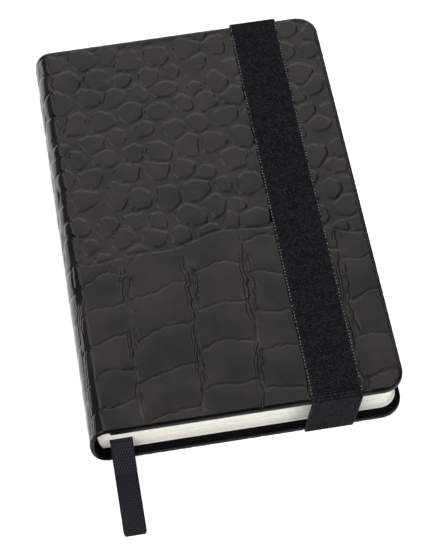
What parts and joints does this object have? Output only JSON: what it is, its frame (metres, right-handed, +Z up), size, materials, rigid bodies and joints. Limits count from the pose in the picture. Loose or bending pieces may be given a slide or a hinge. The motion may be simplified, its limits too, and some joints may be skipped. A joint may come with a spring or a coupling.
{
  "type": "pocket_notebook",
  "caption": "Pocket notebook: sewn cream leaves in a glossy crocodile-embossed black case, with a black elastic closure and a ribbon marker",
  "frame": {"origin": "Centre of the back cover's outside face, on which the closed notebook lies", "axes": "+X from the spine to the fore-edge, +Y from the tail to the head along the covers' long side, +Z up from the back cover to the front cover"},
  "size_m": [0.09, 0.1656, 0.0176],
  "materials": {
    "cover": "glossy crocodile-embossed artificial leather, near black",
    "board": "dense grey-brown bookbinding board",
    "leaves": "matte cream writing paper",
    "endpaper": "matte cream endpaper, heavier than the leaves",
    "ribbon": "black fine twill ribbon with a slight sheen",
    "elastic": "black ribbed woven elastic, dotted along both edges",
    "mull": "open-weave cotton mull",
    "lining": "brown kraft paper",
    "thread": "waxed off-white linen thread"
  },
  "bodies": {
    "back_cover": {"back_board": "board", "back_skin": "cover", "back_pastedown": "endpaper", "back_flyleaf": "endpaper", "signature_01": "leaves", "signature_02": "leaves", "signature_03": "leaves", "signature_04": "leaves", "signature_05": "leaves", "signature_06": "leaves", "signature_07": "leaves", "signature_08": "leaves", "mull": "mull", "spine_lining": "lining", "sewing_thread": "thread", "ribbon_inside": "ribbon", "elastic_anchor_head": "elastic", "elastic_anchor_tail": "elastic"},
    "spine": {"spine_strip": "board", "spine_skin": "cover"},
    "front_cover": {"front_board": "board", "front_skin": "cover", "front_pastedown": "endpaper"},
    "front_flyleaf": {"front_flyleaf": "endpaper"},
    "section_12": {"signature_12": "leaves"},
    "section_11": {"signature_11": "leaves"},
    "section_10": {"signature_10": "leaves"},
    "section_09": {"signature_09": "leaves"},
    "elastic": {"elastic_band": "elastic"},
    "ribbon_tail": {"ribbon_tail": "ribbon"}
  },
  "joints": [
    {"name": "front_cover_hinge", "type": "hinge", "parent": "spine", "child": "front_cover", "pos_m": [-0.04324, 0, 0.0147], "axis": [0, -1, 0], "range_deg": [0, 146.4]},
    {"name": "spine_tilt", "type": "hinge", "parent": "back_cover", "child": "spine", "pos_m": [-0.04324, 0, 0.0017], "axis": [0, -1, 0], "range_deg": [0, 40]},
    {"name": "flyleaf_turn", "type": "hinge", "parent": "back_cover", "child": "front_flyleaf", "pos_m": [-0.0425, 0, 0.01398], "axis": [0, -1, 0], "range_deg": [0, 179.4]},
    {"name": "section_12_turn", "type": "hinge", "parent": "back_cover", "child": "section_12", "pos_m": [-0.0425, 0, 0.01398], "axis": [0, -1, 0], "range_deg": [0, 178.8]},
    {"name": "section_11_turn", "type": "hinge", "parent": "back_cover", "child": "section_11", "pos_m": [-0.0425, 0, 0.01398], "axis": [0, -1, 0], "range_deg": [0, 177.6]},
    {"name": "section_10_turn", "type": "hinge", "parent": "back_cover", "child": "section_10", "pos_m": [-0.0425, 0, 0.01398], "axis": [0, -1, 0], "range_deg": [0, 176.4]},
    {"name": "section_09_turn", "type": "hinge", "parent": "back_cover", "child": "section_09", "pos_m": [-0.0425, 0, 0.01398], "axis": [0, -1, 0], "range_deg": [0, 175.2]},
    {"name": "elastic_release", "type": "hinge", "parent": "back_cover", "child": "elastic", "pos_m": [0.03125, 0, 0.00165], "axis": [0, 1, 0], "range_deg": [0, 90], "deforming": ["elastic_band"]},
    {"name": "ribbon_lift", "type": "hinge", "parent": "back_cover", "child": "ribbon_tail", "pos_m": [-0.036, -0.0669, 0.0065], "axis": [-1, 0, 0], "range_deg": [0, 60]}
  ],
  "couplings": [
    {"joint": "spine_tilt", "follows": "front_cover_hinge", "ratio": 0.27322},
    {"joint": "flyleaf_turn", "follows": "front_cover_hinge", "ratio": 1.2254},
    {"joint": "section_12_turn", "follows": "front_cover_hinge", "ratio": 1.2213},
    {"joint": "section_11_turn", "follows": "front_cover_hinge", "ratio": 1.2131},
    {"joint": "section_10_turn", "follows": "front_cover_hinge", "ratio": 1.2049},
    {"joint": "section_09_turn", "follows": "front_cover_hinge", "ratio": 1.1967},
    {"joint": "elastic_release", "follows": "front_cover_hinge", "ratio": 0.61475}
  ]
}
